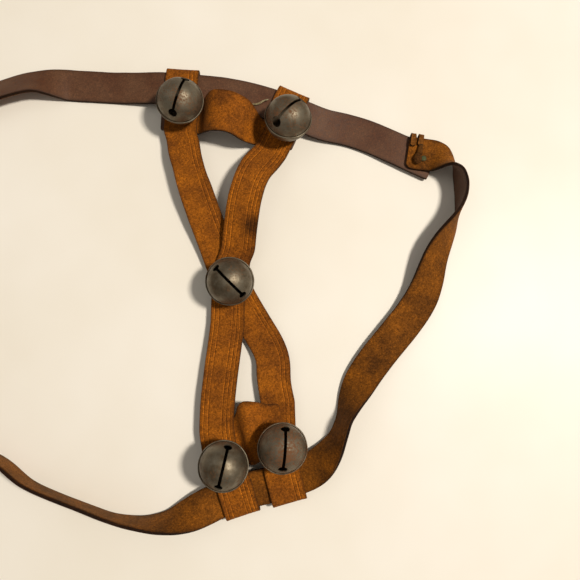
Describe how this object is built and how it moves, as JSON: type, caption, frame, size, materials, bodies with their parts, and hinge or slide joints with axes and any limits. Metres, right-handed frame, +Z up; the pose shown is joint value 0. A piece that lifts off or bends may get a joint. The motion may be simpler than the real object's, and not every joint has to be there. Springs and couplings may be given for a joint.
{
  "type": "sleigh bells",
  "caption": "Leather harness girth with crossing straps and round slotted bells that turn on riveted shanks and rattle as it moves.",
  "frame": {"origin": "middle of the footprint, on the surface that the bells lie on", "axes": "+X along the longer side, towards the joint in the girth; +Y towards the two upper bells; +Z up"},
  "size_m": [0.5064, 0.3718, 0.0482],
  "materials": {
    "leather_grain": "worn dark grain side, flesh side brown",
    "leather_suede": "napped flesh side, orange brown",
    "lace_leather": "worn, dark at the edges",
    "bell_steel": "dull dark patina with rust",
    "shank_iron": "rusty, dull",
    "pellet_iron": "rusty, dull",
    "copper": "green verdigris over copper"
  },
  "bodies": {
    "harness": {"girth_strap": "leather_grain", "crossing_strap_under": "leather_suede", "crossing_strap_over": "leather_suede", "bridge_strap_upper": "leather_suede", "bridge_strap_lower": "leather_suede", "joint_lace_left": "lace_leather", "joint_lace_right": "lace_leather", "joint_toggle": "lace_leather", "joint_rivet": "copper", "bell_1_shank": "shank_iron", "bell_1_rove": "shank_iron", "bell_2_shank": "shank_iron", "bell_2_rove": "shank_iron", "bell_3_shank": "shank_iron", "bell_3_rove": "shank_iron", "bell_4_shank": "shank_iron", "bell_4_rove": "shank_iron", "bell_5_shank": "shank_iron", "bell_5_rove": "shank_iron"},
    "bell_1": {"bell_1_dome": "bell_steel", "bell_1_lower_shell": "bell_steel"},
    "pellet_1": {"bell_1_pellet": "pellet_iron"},
    "bell_2": {"bell_2_dome": "bell_steel", "bell_2_lower_shell": "bell_steel"},
    "pellet_2": {"bell_2_pellet": "pellet_iron"},
    "bell_3": {"bell_3_dome": "bell_steel", "bell_3_lower_shell": "bell_steel"},
    "pellet_3": {"bell_3_pellet": "pellet_iron"},
    "bell_4": {"bell_4_dome": "bell_steel", "bell_4_lower_shell": "bell_steel"},
    "pellet_4": {"bell_4_pellet": "pellet_iron"},
    "bell_5": {"bell_5_dome": "bell_steel", "bell_5_lower_shell": "bell_steel"},
    "pellet_5": {"bell_5_pellet": "pellet_iron"}
  },
  "joints": [
    {"name": "bell_1_spin", "type": "hinge", "parent": "harness", "child": "bell_1", "pos_m": [0.02522, 0.14588, 0.03009], "axis": [0.1055, -0.0609, 0.9925], "continuous": true},
    {"name": "pellet_1_roll", "type": "hinge", "parent": "bell_1", "child": "pellet_1", "pos_m": [0.02522, 0.14588, 0.03009], "axis": [0.1055, -0.0609, 0.9925], "continuous": true},
    {"name": "bell_2_spin", "type": "hinge", "parent": "harness", "child": "bell_2", "pos_m": [0.11071, 0.13157, 0.03059], "axis": [0.0868, 0.1504, 0.9848], "continuous": true},
    {"name": "pellet_2_roll", "type": "hinge", "parent": "bell_2", "child": "pellet_2", "pos_m": [0.11071, 0.13157, 0.03059], "axis": [0.0868, 0.1504, 0.9848], "continuous": true},
    {"name": "bell_3_spin", "type": "hinge", "parent": "harness", "child": "bell_3", "pos_m": [0.06602, 0.00248, 0.02709], "axis": [0.0661, -0.1418, 0.9877], "continuous": true},
    {"name": "pellet_3_roll", "type": "hinge", "parent": "bell_3", "child": "pellet_3", "pos_m": [0.06602, 0.00248, 0.02709], "axis": [0.0661, -0.1418, 0.9877], "continuous": true},
    {"name": "bell_4_spin", "type": "hinge", "parent": "harness", "child": "bell_4", "pos_m": [0.06312, -0.13503, 0.03009], "axis": [0.0984, 0.0984, 0.9903], "continuous": true},
    {"name": "pellet_4_roll", "type": "hinge", "parent": "bell_4", "child": "pellet_4", "pos_m": [0.06312, -0.13503, 0.03009], "axis": [0.0984, 0.0984, 0.9903], "continuous": true},
    {"name": "bell_5_spin", "type": "hinge", "parent": "harness", "child": "bell_5", "pos_m": [0.10662, -0.12223, 0.03029], "axis": [0.1281, 0.0897, 0.9877], "continuous": true},
    {"name": "pellet_5_roll", "type": "hinge", "parent": "bell_5", "child": "pellet_5", "pos_m": [0.10662, -0.12223, 0.03029], "axis": [0.1281, 0.0897, 0.9877], "continuous": true}
  ]
}
